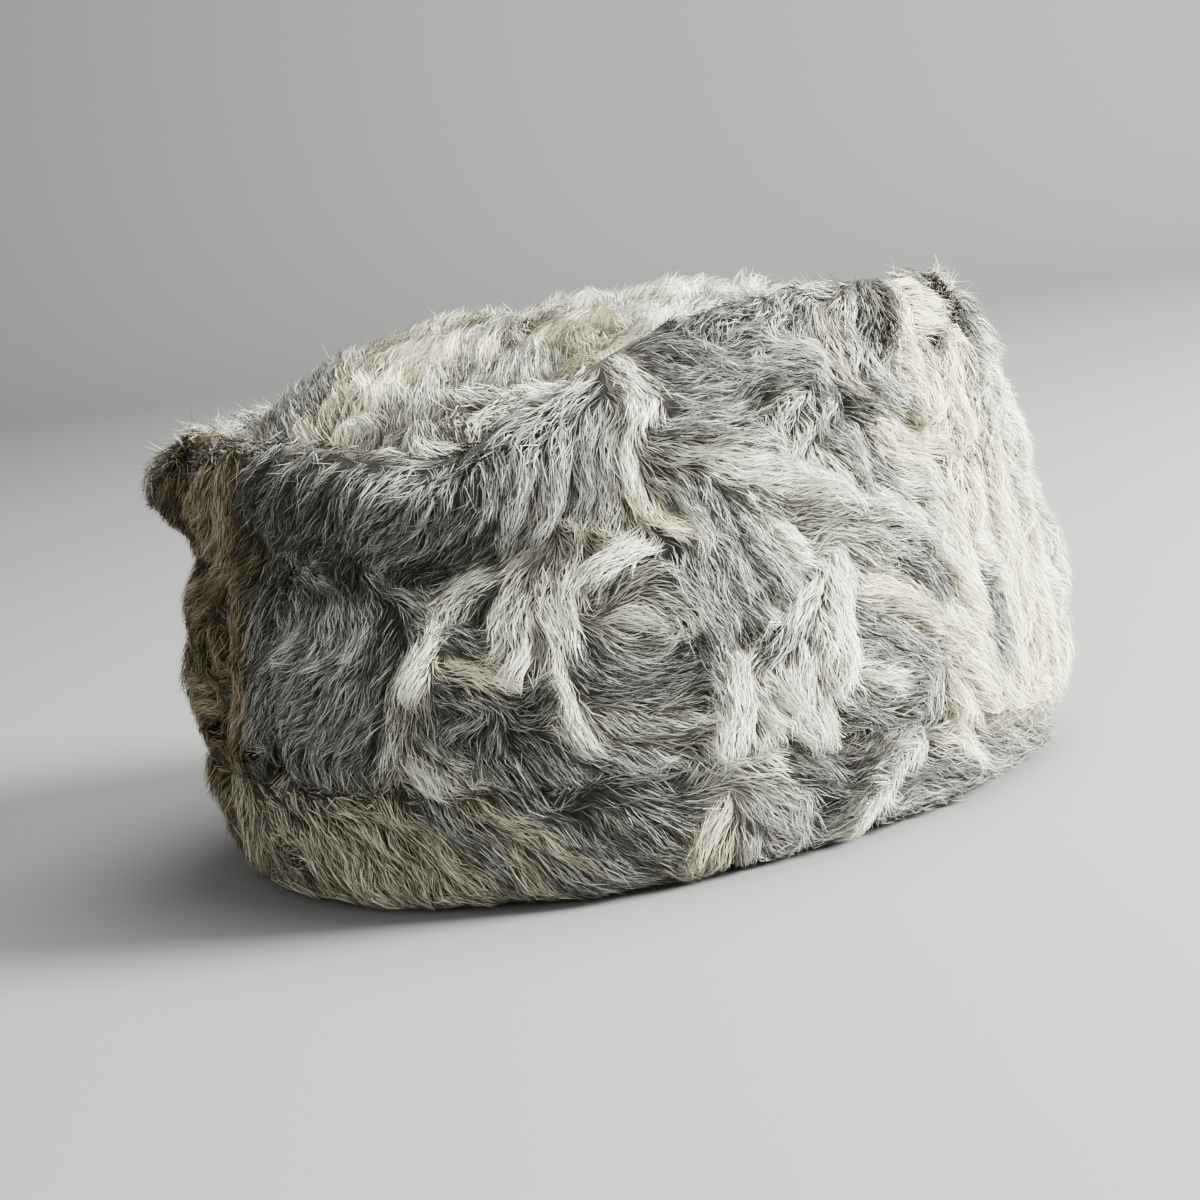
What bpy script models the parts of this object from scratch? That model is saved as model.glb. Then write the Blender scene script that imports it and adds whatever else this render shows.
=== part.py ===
"""Karakul lambskin hat: a domed fur crown tip set into a tall oval side wall, over a fur rim band.

Metres, +Z up. The front of the hat points to -Y and the wearer's right to -X. Angles run from the
back of the hat round by the wearer's right, in degrees. The origin is under the middle of the rim.
"""
import math

import bpy
from mathutils import Vector, noise

# Driving sizes
HAT_LENGTH = 0.240        # front to back over the fur, before the rolls stand out
HAT_WIDTH = 0.206
HAT_HEIGHT = 0.137        # highest point of the crest above the rim
BAND_HEIGHT = 0.034       # rim band, where it is at its full height
WALL_THICKNESS = 0.014    # skin and pile together
CROWN_THICKNESS = 0.009
CROWN_RISE = 0.0257       # top of the dome above the lowest crest
CROWN_DROP = 0.010        # crown seam below the lowest crest
FOLD_DEPTH = 0.010        # unit of the rolls and folds of side wall and band
LOCK_HEIGHT = 0.0030      # how far a lock stands above the pile
LOCK_PITCH = 0.017        # distance between the locks
SEAM_GAP = 0.0004         # clearance of the pieces along a seam
GROOVE_WIDTH = 0.006      # half width of a seam's groove
FOLD_WIDTH = 0.009        # half width of the pressed-in fold under the top roll
GROOVE_DEPTH = 0.005      # depth of a seam's groove
EDGE_ROUND = 0.003        # rounding of the rim's and the crest's edges
SQUARENESS = 2.15         # 2 is an ellipse

# Around the hat: angle, crest height as a share of HAT_HEIGHT
CREST = (
    (0, 0.855), (12, 0.845), (24, 0.820), (34, 0.805), (43, 0.855), (51, 0.900), (59, 0.950),
    (70, 0.985), (88, 1.000), (118, 0.965), (145, 0.905), (180, 0.865), (215, 0.850),
    (250, 0.850), (285, 0.840), (320, 0.845), (342, 0.860),
)

# Around the hat: angle, band seam height as a share of BAND_HEIGHT, and how far the wall's lower
# edge stands over the band there as a share of FOLD_DEPTH
BAND_SEAM = (
    (0, 1.00, 0.00), (30, 0.95, 0.00), (62, 0.92, 0.05), (86, 0.84, 0.15), (102, 0.66, 0.30),
    (118, 0.48, 0.45), (136, 0.34, 0.55), (180, 0.30, 0.55), (225, 0.42, 0.40), (270, 0.80, 0.10),
    (330, 1.00, 0.00),
)

# Up the hat: share of the crest height, then how far the fur stands out at the back, the sides
# and the front, as shares of FOLD_DEPTH
BODY = (
    (0.00, -0.80, -0.70, -0.30), (0.10, -0.40, -0.25, 0.05), (0.22, -0.10, 0.05, 0.65),
    (0.35, 0.10, 0.20, 0.60), (0.50, 0.10, 0.20, 0.20), (0.65, 0.00, 0.10, -0.20),
    (0.80, 0.10, -0.10, -0.70), (0.90, 0.15, -0.30, -1.15), (0.96, -0.20, -0.60, -1.50),
    (1.00, -0.75, -1.15, -2.00),
)
ROLL_START = 0.88         # share of the crest height where the fur starts to turn over the top

# Around the hat: angle, height of the pressed-in fold as a share of HAT_HEIGHT, depth and how far
# the roll above it stands out as shares of FOLD_DEPTH
FOLD = (
    (0, 0.650, 0.50, 0.15), (12, 0.655, 0.70, 0.25), (22, 0.635, 0.95, 0.35),
    (32, 0.605, 1.00, 0.35), (42, 0.635, 0.75, 0.20), (53, 0.655, 0.35, 0.05),
    (68, 0.665, 0.05, 0.00), (180, 0.660, 0.00, 0.00), (280, 0.640, 0.15, 0.05),
    (320, 0.625, 0.55, 0.40), (337, 0.620, 0.75, 0.45), (350, 0.635, 0.50, 0.20),
)

# The largest locks: angle and height (share of HAT_HEIGHT) where each starts and ends, width as
# a share of LOCK_PITCH and rise as a share of LOCK_HEIGHT
LOCKS = (
    (66, 0.75, 83, 0.64, 0.40, 1.0), (81, 0.54, 79, 0.31, 0.38, 1.0),
    (103, 0.61, 98, 0.38, 0.38, 0.9), (90, 0.22, 80, 0.06, 0.40, 0.9),
    (56, 0.64, 60, 0.50, 0.45, 0.8), (67, 0.38, 68, 0.24, 0.34, 0.8),
    (113, 0.66, 116, 0.22, 0.60, 0.6), (92, 0.82, 106, 0.70, 0.42, 0.9),
    (40, 0.50, 47, 0.30, 0.42, 0.7), (58, 0.88, 74, 0.80, 0.42, 0.9),
    (128, 0.72, 132, 0.36, 0.50, 0.7), (150, 0.66, 144, 0.40, 0.46, 0.9),
    (168, 0.56, 176, 0.34, 0.42, 0.9), (190, 0.70, 184, 0.44, 0.44, 0.9),
    (206, 0.52, 214, 0.30, 0.42, 0.9), (232, 0.68, 226, 0.42, 0.44, 0.9),
    (252, 0.54, 246, 0.32, 0.42, 0.9), (270, 0.70, 278, 0.46, 0.44, 0.9),
    (296, 0.50, 290, 0.30, 0.42, 0.8), (312, 0.50, 318, 0.34, 0.42, 0.7),
)
GROUND_RELIEF = 1.30      # small waves between the largest locks, as a share of LOCK_HEIGHT

# Facets
AROUND = 108
WALL_ROWS = 22
WALL_INNER_ROWS = 7
BAND_ROWS = 6
BAND_INNER_ROWS = 3
CROWN_AROUND = AROUND // 2
CROWN_RINGS = 26

FUR_COLOUR = (0.42, 0.40, 0.35, 1.0)
SHADED_FUR_COLOUR = (0.30, 0.28, 0.25, 1.0)
CROWN_FUR_COLOUR = (0.50, 0.47, 0.40, 1.0)
FUR_ROUGHNESS = 0.85


def table_row(table, place, turn=0.0):
    """The columns after the first, read at a place on a smooth curve through a table's rows."""
    if turn:
        place %= turn
        rows = [(row[0] - turn, *row[1:]) for row in table[-2:]]
        rows += list(table) + [(row[0] + turn, *row[1:]) for row in table[:2]]
    else:
        place = min(max(place, table[0][0]), table[-1][0])
        rows = [table[0], *table, table[-1]]
    index = 1
    while index < len(rows) - 3 and rows[index + 1][0] <= place:
        index += 1
    share = (place - rows[index][0]) / (rows[index + 1][0] - rows[index][0])
    values = []
    for column in range(1, len(rows[0])):
        before, low, high, after = (rows[index + step][column] for step in (-1, 0, 1, 2))
        bend = 2 * before - 5 * low + 4 * high - after + share * (3 * (low - high) + after - before)
        values.append(low + 0.5 * share * (high - before + share * bend))
    return values


def crest_height(angle):
    """Height of the wall's top edge."""
    return HAT_HEIGHT * table_row(CREST, angle, 360)[0]


def seam_height(angle):
    """Height of the seam between band and side wall."""
    return BAND_HEIGHT * table_row(BAND_SEAM, angle, 360)[0]


def bump(distance, width):
    """A rounded ridge, 1 at its middle."""
    return math.exp(-(distance / width) ** 2)


def body_draw(angle, share):
    """How far the plain body stands out from the driving oval."""
    back, side, front = table_row(BODY, share)
    along = math.cos(math.radians(angle))
    back_share = max(along, 0) ** 2
    front_share = max(-along, 0) ** 2
    draw = back * back_share + front * front_share + side * (1 - back_share - front_share)
    return FOLD_DEPTH * draw


def fur_draw(angle, height, on_wall):
    """How far the fur's outer surface stands out, with the seams, the fold and the rolls."""
    draw = body_draw(angle, height / crest_height(angle))
    fold_share, depth, roll = table_row(FOLD, angle, 360)
    fold_height = HAT_HEIGHT * fold_share
    draw -= FOLD_DEPTH * depth * bump(height - fold_height, FOLD_WIDTH)
    roll_height = 0.5 * (fold_height + FOLD_WIDTH + crest_height(angle))
    draw += FOLD_DEPTH * roll * bump(height - roll_height, FOLD_WIDTH * 1.2)
    above_seam = height - seam_height(angle)
    draw -= GROOVE_DEPTH * bump(above_seam, GROOVE_WIDTH)
    if on_wall:
        lip = table_row(BAND_SEAM, angle, 360)[1]
        draw += FOLD_DEPTH * lip * math.exp(-max(above_seam, 0) / (4 * GROOVE_WIDTH))
        from_back = math.radians((angle + 180) % 360 - 180) * HAT_LENGTH / 2
        below_crest = (crest_height(angle) - height) / (2 * FOLD_WIDTH)
        draw -= GROOVE_DEPTH * min(max(below_crest, 0), 1) * bump(from_back, GROOVE_WIDTH)
    return draw


def oval_point(angle, draw, height):
    """A point on the oval at an angle, moved out by draw."""
    across = math.sin(math.radians(angle))
    along = math.cos(math.radians(angle))
    power = 2 / SQUARENESS
    return Vector((
        -math.copysign(abs(across) ** power, across) * (HAT_WIDTH / 2 + draw),
        math.copysign(abs(along) ** power, along) * (HAT_LENGTH / 2 + draw),
        height,
    ))


def inner_draw(angle, height):
    """The wall's skin side, which doesn't turn over the top with the fur."""
    share = min(height / crest_height(angle), ROLL_START)
    return body_draw(angle, share) - WALL_THICKNESS


def lock_relief(point):
    """How far the locks stand out at a point of the fur."""
    relief = GROUND_RELIEF * noise.noise(point / LOCK_PITCH)
    for start_angle, start_height, end_angle, end_height, width, rise in LOCKS:
        start = oval_point(start_angle, 0, HAT_HEIGHT * start_height)
        run = oval_point(end_angle, 0, HAT_HEIGHT * end_height) - start
        share = min(max((point - start).dot(run) / run.length_squared, 0), 1)
        away = (point - start - run * share).length
        relief += rise * bump(away, width * LOCK_PITCH)
    return LOCK_HEIGHT * relief


def fur_point(angle, height, low, high, on_wall):
    """A point of the fur's outer surface; the relief fades towards the piece's two edges."""
    draw = fur_draw(angle, height, on_wall)
    share = (height - low) / (high - low)
    fade = min(1, 5 * share, 5 * (1 - share))
    return oval_point(angle, draw + fade * lock_relief(oval_point(angle, draw, height)), height)


def wall_section(angle):
    """The wall's section: up the fur, over the crest and down the skin side."""
    low = seam_height(angle) + SEAM_GAP / 2
    high = crest_height(angle)
    section = []
    for row in range(WALL_ROWS):
        share = 1 - (1 - row / (WALL_ROWS - 1)) ** 1.15
        section.append(fur_point(angle, low + share * (high - low), low, high, True))
    inside = inner_draw(angle, high)
    middle = 0.5 * (inside + fur_draw(angle, high, True))
    section.append(oval_point(angle, middle, high + EDGE_ROUND / 2))
    for row in range(WALL_INNER_ROWS):
        height = high - EDGE_ROUND - row / (WALL_INNER_ROWS - 1) * (high - EDGE_ROUND - low)
        section.append(oval_point(angle, inner_draw(angle, height), height))
    return section


def band_section(angle):
    """The band's section: up the fur from the rim, across the seam and down the skin side."""
    high = seam_height(angle) - SEAM_GAP / 2
    section = [oval_point(angle, fur_draw(angle, 0, False) - EDGE_ROUND / 2, 0)]
    for row in range(BAND_ROWS):
        height = EDGE_ROUND / 2 + row / (BAND_ROWS - 1) * (high - EDGE_ROUND / 2)
        section.append(fur_point(angle, height, 0, high, False))
    for row in range(BAND_INNER_ROWS):
        height = high * (1 - row / (BAND_INNER_ROWS - 1))
        section.append(oval_point(angle, inner_draw(angle, height), height))
    return section


def lowest_crest():
    """Height of the crest where it dips most."""
    return HAT_HEIGHT * min(row[1] for row in CREST)


def crown_edge(angle):
    """Height of the seam where the crown tip meets the wall's skin side."""
    lowest = lowest_crest()
    return lowest + 0.5 * (crest_height(angle) - lowest) - CROWN_DROP


def crown_point(angle, reach, outside):
    """A point of the crown tip's fur or skin side; reach is 0 at the middle and 1 at the edge."""
    edge = crown_edge(angle)
    rim = oval_point(angle, inner_draw(angle, edge) - SEAM_GAP, edge)
    rise = (1 - reach ** 3.2) ** 0.8
    top = lowest_crest() + CROWN_RISE
    point = Vector((rim.x * reach, rim.y * reach, edge + rise * (top - edge)))
    if outside:
        fade = min(1, 4 * (1 - reach))
        point.z += fade * 1.5 * GROUND_RELIEF * LOCK_HEIGHT * noise.noise(point / LOCK_PITCH)
    else:
        point.z -= CROWN_THICKNESS * math.sqrt(1 - reach ** 6)
    return point


def fur_material(name, colour):
    """Matte fur."""
    material = bpy.data.materials.new(name)
    material.use_nodes = True
    shader = material.node_tree.nodes["Principled BSDF"]
    shader.inputs["Base Color"].default_value = colour
    shader.inputs["Roughness"].default_value = FUR_ROUGHNESS
    shader.inputs["Metallic"].default_value = 0.0
    material.diffuse_color = colour
    return material


def finish(name, colour, collection):
    """Name the active object, give it its material and file it in the hat's collection."""
    piece = bpy.context.active_object
    piece.name = name
    piece.data.name = name
    piece.data.materials.append(fur_material(name + "_fur", colour))
    piece.data.shade_smooth()
    for holder in list(piece.users_collection):
        holder.objects.unlink(piece)
    collection.objects.link(piece)
    return piece


def make_ring(name, section_at, colour, collection):
    """A ring of fur: a torus whose sections are moved to the section at their angle."""
    bpy.ops.mesh.primitive_torus_add(
        major_segments=AROUND,
        minor_segments=len(section_at(0)),
        major_radius=HAT_LENGTH / 2,
        minor_radius=WALL_THICKNESS,
    )
    ring = finish(name, colour, collection)
    vertices = iter(ring.data.vertices)
    for column in range(AROUND):
        for point in section_at(360 * column / AROUND):
            next(vertices).co = point
    return ring


def make_crown(colour, collection):
    """The crown tip: a sphere whose upper half becomes the fur and lower half the skin side."""
    bpy.ops.mesh.primitive_uv_sphere_add(
        segments=CROWN_AROUND, ring_count=CROWN_RINGS, radius=HAT_WIDTH / 2
    )
    crown = finish("crown_tip", colour, collection)
    for vertex in crown.data.vertices:
        flat = math.hypot(vertex.co.x, vertex.co.y)
        from_top = math.atan2(flat, vertex.co.z)
        outside = from_top <= math.pi / 2
        reach = min(from_top, math.pi - from_top) / (math.pi / 2)
        angle = math.degrees(math.atan2(-vertex.co.x, vertex.co.y)) if flat > 1e-6 else 0
        vertex.co = crown_point(angle, min(reach, 1), outside)
    return crown


def settle(pieces):
    """Move the pieces together so that the middle of the rim is over the origin."""
    corners = [vertex.co for piece in pieces for vertex in piece.data.vertices]
    low = Vector([min(corner[axis] for corner in corners) for axis in range(3)])
    high = Vector([max(corner[axis] for corner in corners) for axis in range(3)])
    shift = Vector((-(low.x + high.x) / 2, -(low.y + high.y) / 2, -low.z))
    for piece in pieces:
        for vertex in piece.data.vertices:
            vertex.co += shift


def main():
    for old in list(bpy.data.objects):
        bpy.data.objects.remove(old)
    collection = bpy.data.collections.new("karakul_lambskin_hat")
    bpy.context.scene.collection.children.link(collection)
    pieces = [
        make_ring("rim_band", band_section, SHADED_FUR_COLOUR, collection),
        make_ring("side_wall", wall_section, FUR_COLOUR, collection),
        make_crown(CROWN_FUR_COLOUR, collection),
    ]
    settle(pieces)


main()
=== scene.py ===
# A karakul lambskin hat: three pelts with curled, combed fur, resting on a pale studio floor.
# Metres, +Z up. The front of the hat points to -Y and the wearer's right to -X.
import math

import bmesh
import bpy
import numpy as np
from mathutils import Matrix, Vector, noise
from mathutils.bvhtree import BVHTree
from mathutils.kdtree import KDTree


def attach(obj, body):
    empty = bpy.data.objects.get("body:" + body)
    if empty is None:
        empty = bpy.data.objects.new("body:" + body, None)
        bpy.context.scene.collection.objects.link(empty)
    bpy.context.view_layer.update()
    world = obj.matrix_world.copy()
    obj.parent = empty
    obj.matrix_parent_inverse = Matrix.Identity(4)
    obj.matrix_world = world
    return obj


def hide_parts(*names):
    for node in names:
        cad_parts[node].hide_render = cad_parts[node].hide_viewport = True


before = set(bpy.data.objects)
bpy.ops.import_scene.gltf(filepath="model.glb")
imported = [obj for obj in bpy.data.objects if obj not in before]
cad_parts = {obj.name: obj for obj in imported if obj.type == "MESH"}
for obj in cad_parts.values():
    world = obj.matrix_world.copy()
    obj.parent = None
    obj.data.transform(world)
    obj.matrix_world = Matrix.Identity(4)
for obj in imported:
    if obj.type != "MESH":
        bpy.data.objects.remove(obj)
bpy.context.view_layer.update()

shot = {
    "fromBack": 49.72,  # degrees round from the back of the hat towards the wearer's right
    "elevation": 9.06,
    "distance": 0.85,
    "aimAt": (0.0009, 0.0041, 0.060),
    "lens": 94.52,
    "roll": -7.63,
    "shift": (-0.0161, -0.0143),
    "clip": (0.02, 30),
    "photoSize": 1200,  # the lock chart is read in the photo's own pixels
}


def addCamera():
    data = bpy.data.cameras.new("studioCamera")
    data.lens = shot["lens"]
    data.shift_x, data.shift_y = shot["shift"]
    data.clip_start, data.clip_end = shot["clip"]
    camera = bpy.data.objects.new("studioCamera", data)
    bpy.context.scene.collection.objects.link(camera)
    around = math.radians(shot["fromBack"])
    up = math.radians(shot["elevation"])
    away = Vector((-math.sin(around) * math.cos(up), math.cos(around) * math.cos(up), math.sin(up)))
    roll = Matrix.Rotation(math.radians(shot["roll"]), 3, "Z")
    turn = (-away).to_track_quat("-Z", "Y").to_matrix() @ roll
    place = Vector(shot["aimAt"]) + away * shot["distance"]
    camera.matrix_world = Matrix.Translation(place) @ turn.to_4x4()
    bpy.context.scene.camera = camera
    return camera


def photoRay(camera, column, row):
    # where the camera sees a pixel of the photo: the eye and the direction
    data = camera.data
    across = (column / shot["photoSize"] - 0.5 + data.shift_x) * data.sensor_width / data.lens
    up = (0.5 - row / shot["photoSize"] + data.shift_y) * data.sensor_width / data.lens
    eye = camera.matrix_world.translation
    return eye, (camera.matrix_world.to_3x3() @ Vector((across, up, -1))).normalized()


class Wire:
    # a socket that Python's operators turn into Math nodes
    def __init__(self, finish, socket):
        self.finish = finish
        self.socket = socket

    def combine(self, operation, first, second):
        return self.finish.add("ShaderNodeMath", {"operation": operation}, {0: first, 1: second})

    def __mul__(self, other):
        return self.combine("MULTIPLY", self, other)

    def __rmul__(self, other):
        return self.combine("MULTIPLY", other, self)

    def beside(self, output):
        # another output of the same node
        return Wire(self.finish, self.socket.node.outputs[output])


class Finish:
    # a material whose nodes all come from one method
    def __init__(self, name, constants):
        self.material = bpy.data.materials.new(name)
        self.material.use_nodes = True
        self.tree = self.material.node_tree
        self.shader = self.tree.nodes["Principled BSDF"]
        for socket, value in constants.items():
            self.shader.inputs[socket].default_value = value

    def add(self, kind, settings=None, sockets=None, output=0):
        node = self.tree.nodes.new(kind)
        for setting, value in (settings or {}).items():
            if setting == "stops":
                ramp = node.color_ramp
                while len(ramp.elements) < len(value):
                    ramp.elements.new(0.5)
                for element, (place, colour) in zip(ramp.elements, value):
                    element.position = place
                    element.color = (*colour, 1)
            else:
                setattr(node, setting, value)
        for socket, value in (sockets or {}).items():
            if isinstance(value, Wire):
                self.tree.links.new(value.socket, node.inputs[socket])
            else:
                node.inputs[socket].default_value = value
        return Wire(self, node.outputs[output])

    def mix(self, factor, first, second, blend="MIX"):
        # colours, as Wires or as tuples
        pair = [value if isinstance(value, Wire) else (*value, 1) for value in (first, second)]
        settings = {"data_type": "RGBA", "blend_type": blend}
        return self.add("ShaderNodeMix", settings, {0: factor, 6: pair[0], 7: pair[1]}, 2)

    def noise(self, scale, detail):
        place = self.add("ShaderNodeTexCoord", output=3)
        return self.add("ShaderNodeTexNoise", {}, {"Vector": place, "Scale": scale, "Detail": detail})

    def between(self, value, low, high, first=0.0, last=1.0):
        return self.add("ShaderNodeMapRange", {}, {0: value, 1: low, 2: high, 3: first, 4: last})

    def feed(self, socket, wire):
        self.tree.links.new(wire.socket, self.shader.inputs[socket])

    def bump(self, height, strength, distance):
        sockets = {"Height": height, "Strength": strength, "Distance": distance}
        self.feed("Normal", self.add("ShaderNodeBump", {}, sockets))


def deselectAll():
    for item in bpy.context.selected_objects:
        item.select_set(False)


def makeActive(item):
    deselectAll()
    item.select_set(True)
    bpy.context.view_layer.objects.active = item


camera = addCamera()
print("camera placed")

studio = {
    "near": -7.0,           # where the paper starts, behind the camera
    "wallDistance": 1.5,    # where it starts to curve up, behind the hat
    "wallCurve": 0.7,
    "curveSteps": 12,
    "width": 18.0,
    "height": 5.0,
    "key": {"place": (-1.20, -1.00, 0.80), "size": 0.8, "power": 183, "colour": (1.0, 1.0, 0.955)},
    "top": {"place": (-0.20, -0.35, 1.6), "size": 1.2, "power": 40, "colour": (1.0, 1.0, 0.98)},
    "fill": {"place": (-0.9, 1.5, 0.7), "size": 1.4, "power": 9, "colour": (1.0, 0.99, 0.95)},
    "world": 0.75,
    "worldColour": (1.0, 1.0, 0.99, 1.0),
    "shadedPaper": (0.145, 0.145, 0.147),
    "litPaper": (0.27, 0.27, 0.272),
    "paintedLightTo": (-0.638, -0.753, 0.0),  # painted light: the paper is coloured lighter this way, on the key light's side, and darker the other way
    "paperSpan": 0.7,       # from this far before the hat to as far past it
    "look": "AgX - Medium High Contrast",
}


def addSweep():
    # floor and backdrop in one piece: a plane whose far edge is spun up and drawn out as a wall
    near, far, curve = studio["near"], studio["wallDistance"], studio["wallCurve"]
    deselectAll()
    bpy.ops.mesh.primitive_plane_add(size=1, location=((near + far) / 2, 0, 0))
    sweep = bpy.context.active_object
    sweep.name = "studioSweep"
    sweep.scale = (far - near, studio["width"], 1)
    bpy.ops.object.transform_apply(location=True, rotation=True, scale=True)
    bpy.ops.object.mode_set(mode="EDIT")
    bpy.ops.mesh.select_all(action="DESELECT")
    bpy.ops.object.mode_set(mode="OBJECT")
    for edge in sweep.data.edges:
        edge.select = all(sweep.data.vertices[corner].co.x > (near + far) / 2 for corner in edge.vertices)
    bpy.ops.object.mode_set(mode="EDIT")
    bpy.ops.mesh.select_mode(type="EDGE")
    bpy.ops.mesh.spin(
        steps=studio["curveSteps"], angle=math.pi / 2, center=(far, 0, curve), axis=(0, 1, 0),
    )
    bpy.ops.mesh.extrude_region_move(TRANSFORM_OT_translate={"value": (0, 0, studio["height"] - curve)})
    bpy.ops.object.mode_set(mode="OBJECT")
    away = Vector(shot["aimAt"]) - camera.matrix_world.translation
    sweep.rotation_euler.z = math.atan2(away.y, away.x)
    bpy.ops.object.transform_apply(location=True, rotation=True, scale=True)
    sweep.data.shade_smooth()
    sweep.data.materials.append(paperFinish())


def paperFinish():
    finish = Finish("studioPaper", {"Roughness": 0.85, "Specular IOR Level": 0.2})
    # painted light: the paper's colour runs from a shaded tone to a lit tone towards the key light's side
    sockets = {0: finish.add("ShaderNodeTexCoord", output=3), 1: studio["paintedLightTo"]}
    toLight = finish.add("ShaderNodeVectorMath", {"operation": "DOT_PRODUCT"}, sockets, 1)
    share = finish.between(toLight, -studio["paperSpan"], studio["paperSpan"])
    finish.feed("Base Color", finish.mix(share, studio["shadedPaper"], studio["litPaper"]))
    return finish.material


def addLight(name, values):
    data = bpy.data.lights.new(name, "AREA")
    data.shape = "DISK"
    data.size = values["size"]
    data.energy = values["power"]
    data.color = values["colour"]
    light = bpy.data.objects.new(name, data)
    bpy.context.scene.collection.objects.link(light)
    place = Vector(values["place"])
    light.location = place
    aim = Vector(shot["aimAt"]) - place
    light.rotation_euler = aim.to_track_quat("-Z", "Y").to_euler()


def addStudio():
    addSweep()
    for name in ("key", "top", "fill"):
        addLight(name + "Light", studio[name])
    world = bpy.data.worlds.new("studioWorld")
    world.use_nodes = True
    background = world.node_tree.nodes["Background"]
    background.inputs["Color"].default_value = studio["worldColour"]
    background.inputs["Strength"].default_value = studio["world"]
    bpy.context.scene.world = world
    bpy.context.scene.view_settings.look = studio["look"]


addStudio()
print("studio lit")

fur = {
    "usualWidth": 20,       # of a charted lock, in pixels
    "pixelSize": 0.00027,   # metres that a pixel spans at the middle of the hat
    "stepLength": 0.0015,   # between the points of a lock's spine
    "castPoints": 9,        # of a charted lock, before they are spaced evenly
    "longestJump": 0.008,   # between them, before the lock counts as cut by an edge
    "guideReach": 0.014,    # how far a charted lock leads the ones between
    "swirls": (34, 75),     # large and small swirls of the flow in a metre
    "patches": 28,          # light and dark patches in a metre
    "starts": 6000,         # places where a lock may start, for each cover
    "underCrest": 0.0015,   # how far over the crown's rim the fur inside the crest begins
    "crestReach": 0.010,    # how far beside a place the crest's height is looked up
    "crestDepth": 0.014,    # the fur reaches its full height this far under the crest
    "crestTurn": 0.006,     # how far from the crest the fur lies over it
    "rimReach": 0.0022,     # how far the crown's hide reaches out at its seam
    "rimTurn": 0.008,       # how far from its seam the crown's fur lies outwards
    "seamReach": 0.006,     # the fur stands fuller over a seam within this distance
    "seamFill": 0.0030,
    "rimBare": 0.002,       # no fur grows on the rim's own edge, up to this height
    "lowest": 0.0006,       # the fur's tips stay above what the hat rests on
    "seed": 7,
}

# the dressed hides that carry the fur, and how far each lies inside its solid's face
pelts = {
    "sidePelt": {"node": "side_wall", "slot": "side_fur", "inset": 0.0048},
    "bandPelt": {"node": "rim_band", "slot": "band_fur", "inset": 0.0042},
    "crownPelt": {"node": "crown_tip", "slot": "crown_fur", "inset": 0.0032},
}

hide = {
    "grain": 420,
    "patches": 38,
    "grainDepth": 0.0004,
    # the fur side's colour: dark hair roots and painted shade where the skin shows between strands
    "darkRootsAndShade": (0.045, 0.043, 0.040),
    "paleRootsAndShade": (0.12, 0.115, 0.105),
    "suede": (0.60, 0.53, 0.43),
    "paleSuede": (0.71, 0.65, 0.55),
    "suedeGrain": (0.42, 0.35, 0.27),
    "merge": 1e-5,          # the solids' loose triangles are joined within this distance
    "quadAngle": 1.2,       # and paired up to quads across angles below this
    "headOval": 0.75,       # the head's width to its length
    "furEdge": 0.55,        # fur starts on faces that point inwards by this much
    "furGain": 4,           # and is full a quarter further out
    "skinSide": -0.2,       # faces that point inwards more than this are the skin side
    "crownSkin": -0.6,      # the same for faces of the crown that point down
    "seamInset": 0.85,      # share of the inset that is taken off at a seam
    "crestInset": 0.22,     # share of the inset that is left along the crest
}


def peltFinish(name):
    # fur roots outside, darkened as dark hair roots and painted shade in the gaps between strands, suede
    # inside, told apart by the furSide attribute
    finish = Finish(name, {"Roughness": 0.9, "Specular IOR Level": 0.25})
    side = finish.add("ShaderNodeAttribute", {"attribute_name": "furSide"}, output=2)
    grain = finish.noise(hide["grain"], 4.0)
    patch = finish.noise(hide["patches"], 3.0)
    # painted shade: near black roots, so that gaps between strands look shaded
    roots = finish.mix(finish.between(patch, 0.35, 0.65), hide["darkRootsAndShade"], hide["paleRootsAndShade"])
    suede = finish.mix(finish.between(patch, 0.3, 0.7), hide["suede"], hide["paleSuede"])
    suede = finish.mix(finish.between(grain, 0.35, 0.75, 0.0, 0.35), suede, hide["suedeGrain"])
    finish.feed("Base Color", finish.mix(side, suede, roots))
    finish.bump(grain, 0.5, hide["grainDepth"])
    return finish.material


def nodeTree(name):
    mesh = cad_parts[name].data
    mesh.calc_loop_triangles()
    corners = [vertex.co.copy() for vertex in mesh.vertices]
    return BVHTree.FromPolygons(corners, [tuple(face.vertices) for face in mesh.loop_triangles])


def outward(place, normal):
    # 1 where a surface faces away from the head, 0 on the skin side
    radial = Vector((place.x, place.y * hide["headOval"], 0))
    if radial.length < 1e-6:
        return 1.0 if normal.z > 0 else 0.0
    return normal.dot(radial.normalized())


def planTree(places):
    # a tree that finds the nearest of some places as seen from above
    plan = KDTree(len(places))
    for index, place in enumerate(places):
        plan.insert((place.x, place.y, 0), index)
    plan.balance()
    return plan


crownPlaces = [vertex.co.copy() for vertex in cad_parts["crown_tip"].data.vertices]
crownPlan = planTree(crownPlaces)
wallPlaces = [vertex.co.copy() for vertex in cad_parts["side_wall"].data.vertices]
wallPlan = planTree(wallPlaces)
trees = {name: nodeTree(name) for name in ("side_wall", "rim_band", "crown_tip")}


def crestDrop(place):
    # how far a place is under the crest beside it
    near = wallPlan.find_range((place.x, place.y, 0), fur["crestReach"])
    return max([wallPlaces[index].z for _, index, _ in near], default=place.z) - place.z


def furShare(node, vertex):
    # 1 where a pelt carries fur, 0 on its bare skin side
    if node == "crown_tip":
        return 1.0 if vertex.normal.z > hide["crownSkin"] else 0.0
    if node == "side_wall":
        seam = crownPlaces[crownPlan.find((vertex.co.x, vertex.co.y, 0))[1]].z
        if vertex.co.z > seam + fur["underCrest"]:
            return 1.0
    return min(max((outward(vertex.co, vertex.normal) + hide["furEdge"]) * hide["furGain"], 0), 1)


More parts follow.
